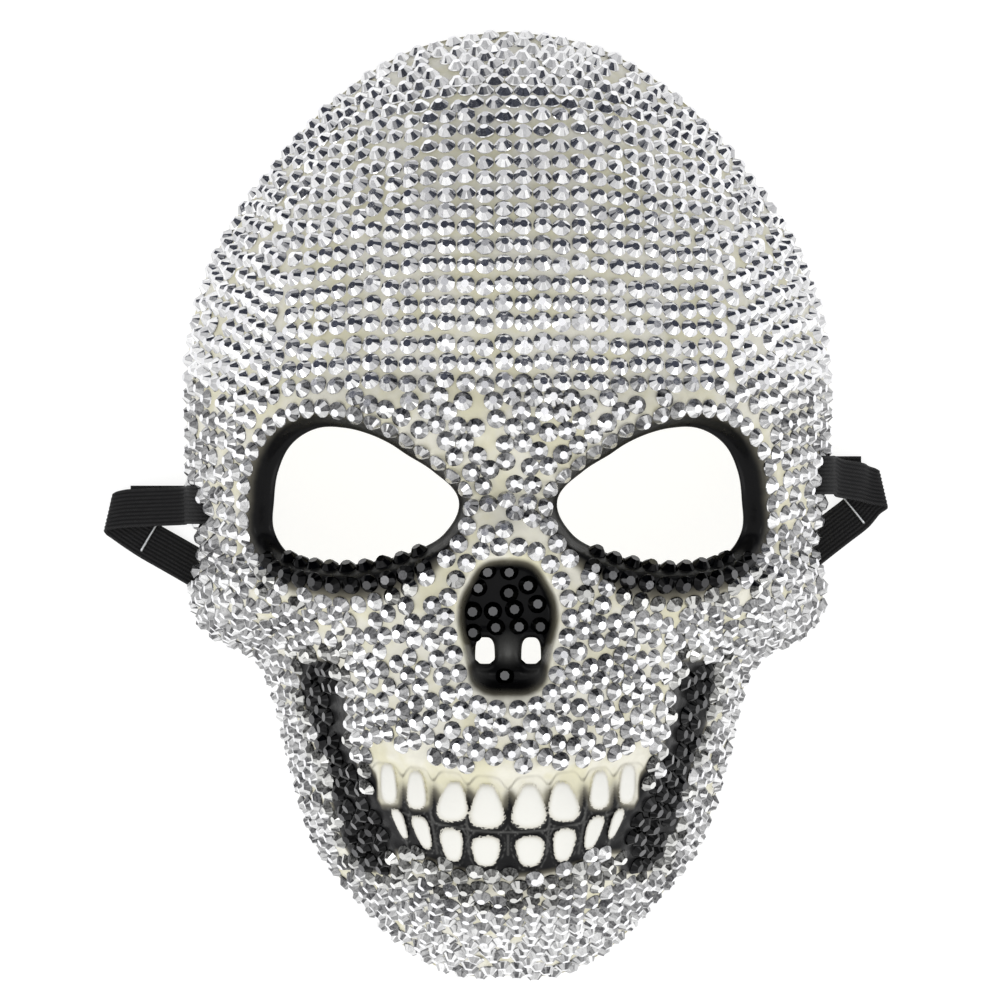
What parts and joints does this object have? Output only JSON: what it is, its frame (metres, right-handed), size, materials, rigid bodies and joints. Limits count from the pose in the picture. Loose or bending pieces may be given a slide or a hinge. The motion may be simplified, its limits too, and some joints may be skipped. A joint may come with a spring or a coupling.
{
  "type": "skull mask",
  "caption": "Full-face skull mask: a thin moulded shell with open eyes and nostrils, relief teeth, glued cut stones and a flat elastic.",
  "frame": {"origin": "centre of the whole part's outline seen from above, on the surface that the mask lies on", "axes": "+X to the viewer's right across the face, +Y up the face towards the forehead, +Z out of the face, away from the surface it lies on"},
  "size_m": [0.2056, 0.2467, 0.0838],
  "materials": {
    "cream_plastic": "semi-gloss moulded cream plastic with airbrushed black shading",
    "black_elastic": "ribbed woven flat elastic",
    "staple_wire": "plain bright wire",
    "black_stone": "polished cut acrylic, black",
    "silver_stone": "polished cut acrylic with a silvered flat back"
  },
  "bodies": {
    "root": {"mask_shell": "cream_plastic", "elastic_strap": "black_elastic", "staple_left": "staple_wire", "staple_right": "staple_wire", "nose_stone_01": "black_stone", "nose_stone_02": "black_stone", "nose_stone_03": "black_stone", "nose_stone_04": "black_stone", "nose_stone_05": "black_stone", "nose_stone_06": "black_stone", "nose_stone_07": "black_stone", "nose_stone_08": "black_stone", "nose_stone_09": "black_stone", "nose_stone_10": "black_stone", "nose_stone_11": "black_stone", "nose_stone_12": "black_stone", "nose_stone_13": "black_stone", "nose_stone_14": "black_stone", "left_eye_stone_01": "black_stone", "left_eye_stone_02": "black_stone", "left_eye_stone_03": "black_stone", "left_eye_stone_04": "black_stone", "left_eye_stone_05": "black_stone", "left_eye_stone_06": "black_stone", "left_eye_stone_07": "black_stone", "left_eye_stone_08": "black_stone", "right_eye_stone_01": "black_stone", "right_eye_stone_02": "black_stone", "right_eye_stone_03": "black_stone", "right_eye_stone_04": "black_stone", "right_eye_stone_05": "black_stone", "right_eye_stone_06": "black_stone", "right_eye_stone_07": "black_stone", "right_eye_stone_08": "black_stone"}
  },
  "joints": []
}
